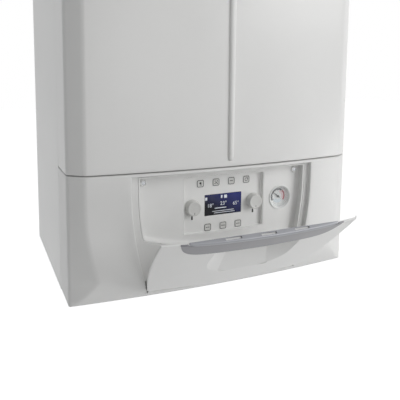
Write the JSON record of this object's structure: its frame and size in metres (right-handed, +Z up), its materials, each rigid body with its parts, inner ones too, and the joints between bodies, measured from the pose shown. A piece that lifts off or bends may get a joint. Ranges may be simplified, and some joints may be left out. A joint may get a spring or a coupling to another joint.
{
  "type": "condensing boiler",
  "caption": "Wall-hung condensing boiler with a built-in storage tank: bowed white casing, hinged shield-shaped door over a dished control panel, pipe tails below and flue collar on top.",
  "frame": {"origin": "middle of the wall bracket's rear face, on the wall plane", "axes": "+Z up, +Y into the wall, so the boiler's front faces -Y; +X to the right for someone facing the front"},
  "size_m": [0.6, 0.603, 0.958],
  "materials": {
    "white_enamel": "smooth white enamel with a soft sheen",
    "white_moulding": "white moulded plastic with a soft sheen",
    "pale_grey_moulding": "pale warm grey moulding",
    "silver_moulding": "silver grey lacquered moulding",
    "zinc": "galvanised sheet",
    "stainless": "brushed stainless steel",
    "cast_alloy": "sand cast, matt",
    "brass": "machined",
    "copper": "drawn copper, dull",
    "black_moulding": "black moulding",
    "grey_moulding": "dark grey moulding",
    "red_enamel": "red enamel",
    "display_glass": "tinted display window",
    "dial_face": "white body and dial",
    "clear_lens": "clear lens",
    "circuit_board": "green lacquered board",
    "steel_pin": "plain steel"
  },
  "bodies": {
    "casing": {"front_cover": "white_enamel", "side_panel_left": "white_enamel", "side_panel_right": "white_enamel", "top_cover": "white_enamel", "flue_collar": "white_enamel", "lower_fascia": "white_moulding", "control_tray": "pale_grey_moulding", "control_insert": "pale_grey_moulding", "wall_bracket": "zinc", "back_frame": "zinc", "bottom_plate": "zinc", "front_crossbar": "zinc", "tank_cradle": "zinc", "storage_tank": "stainless", "heat_exchanger": "stainless", "burner_door": "cast_alloy", "fan_housing": "cast_alloy", "gas_valve": "cast_alloy", "diverter_valve": "brass", "fill_valve": "brass", "tank_coil": "copper", "gas_pipe": "copper", "cold_water_pipe": "copper", "hot_water_pipe": "copper", "heating_flow_pipe": "copper", "heating_return_pipe": "copper", "exchanger_return_pipe": "copper", "exchanger_flow_pipe": "copper", "coil_feed_pipe": "copper", "coil_return_pipe": "copper", "circulation_pump": "black_moulding", "fan_motor": "black_moulding", "gas_mixer": "grey_moulding", "condensate_trap": "grey_moulding", "board_housing": "grey_moulding", "flue_pipe": "grey_moulding", "expansion_vessel": "red_enamel", "display_window": "display_glass", "gauge_body": "dial_face", "gauge_lens": "clear_lens", "control_board": "circuit_board", "hinge_pin_left": "steel_pin", "hinge_pin_right": "steel_pin", "tray_screw_left": "steel_pin", "tray_screw_right": "steel_pin"},
    "door": {"door_shell": "white_moulding", "door_handle": "silver_moulding"},
    "knob_left_body": {"knob_left": "pale_grey_moulding"},
    "knob_right_body": {"knob_right": "pale_grey_moulding"},
    "needle": {"gauge_needle": "black_moulding"},
    "fan_rotor": {"fan_wheel": "grey_moulding"},
    "fill_handle": {"fill_knob": "black_moulding"},
    "key_upper_1_cap": {"key_upper_1": "pale_grey_moulding"},
    "key_upper_2_cap": {"key_upper_2": "pale_grey_moulding"},
    "key_upper_3_cap": {"key_upper_3": "pale_grey_moulding"},
    "key_upper_4_cap": {"key_upper_4": "pale_grey_moulding"},
    "key_lower_1_cap": {"key_lower_1": "pale_grey_moulding"},
    "key_lower_2_cap": {"key_lower_2": "pale_grey_moulding"},
    "key_lower_3_cap": {"key_lower_3": "pale_grey_moulding"}
  },
  "joints": [
    {"name": "door_hinge", "type": "hinge", "parent": "casing", "child": "door", "pos_m": [0, -0.438, -0.828], "axis": [1, 0, 0], "range_deg": [-46.5, 0]},
    {"name": "knob_left_turn", "type": "hinge", "parent": "casing", "child": "knob_left_body", "pos_m": [-0.0612, -0.42, -0.6935], "axis": [0, 1, 0], "range_deg": [-135, 135]},
    {"name": "knob_right_turn", "type": "hinge", "parent": "casing", "child": "knob_right_body", "pos_m": [0.0738, -0.42, -0.6935], "axis": [0, 1, 0], "range_deg": [-135, 135]},
    {"name": "needle_turn", "type": "hinge", "parent": "casing", "child": "needle", "pos_m": [0.1337, -0.4175, -0.6909], "axis": [0, 1, 0], "range_deg": [-68, 172], "stiffness_Nm_per_rad": 0.0005},
    {"name": "fan_spin", "type": "hinge", "parent": "casing", "child": "fan_rotor", "pos_m": [0.1705, -0.29, -0.35], "axis": [0, 1, 0], "continuous": true},
    {"name": "fill_turn", "type": "hinge", "parent": "casing", "child": "fill_handle", "pos_m": [0.1, -0.15, -0.85], "axis": [0, 0, 1], "range_deg": [0, 270]},
    {"name": "key_upper_1_press", "type": "slide", "parent": "casing", "child": "key_upper_1_cap", "axis": [0, 1, 0], "range_m": [0, 0.001], "stiffness_N_per_m": 600},
    {"name": "key_upper_2_press", "type": "slide", "parent": "casing", "child": "key_upper_2_cap", "axis": [0, 1, 0], "range_m": [0, 0.001], "stiffness_N_per_m": 600},
    {"name": "key_upper_3_press", "type": "slide", "parent": "casing", "child": "key_upper_3_cap", "axis": [0, 1, 0], "range_m": [0, 0.001], "stiffness_N_per_m": 600},
    {"name": "key_upper_4_press", "type": "slide", "parent": "casing", "child": "key_upper_4_cap", "axis": [0, 1, 0], "range_m": [0, 0.001], "stiffness_N_per_m": 600},
    {"name": "key_lower_1_press", "type": "slide", "parent": "casing", "child": "key_lower_1_cap", "axis": [0, 1, 0], "range_m": [0, 0.001], "stiffness_N_per_m": 600},
    {"name": "key_lower_2_press", "type": "slide", "parent": "casing", "child": "key_lower_2_cap", "axis": [0, 1, 0], "range_m": [0, 0.001], "stiffness_N_per_m": 600},
    {"name": "key_lower_3_press", "type": "slide", "parent": "casing", "child": "key_lower_3_cap", "axis": [0, 1, 0], "range_m": [0, 0.001], "stiffness_N_per_m": 600}
  ]
}
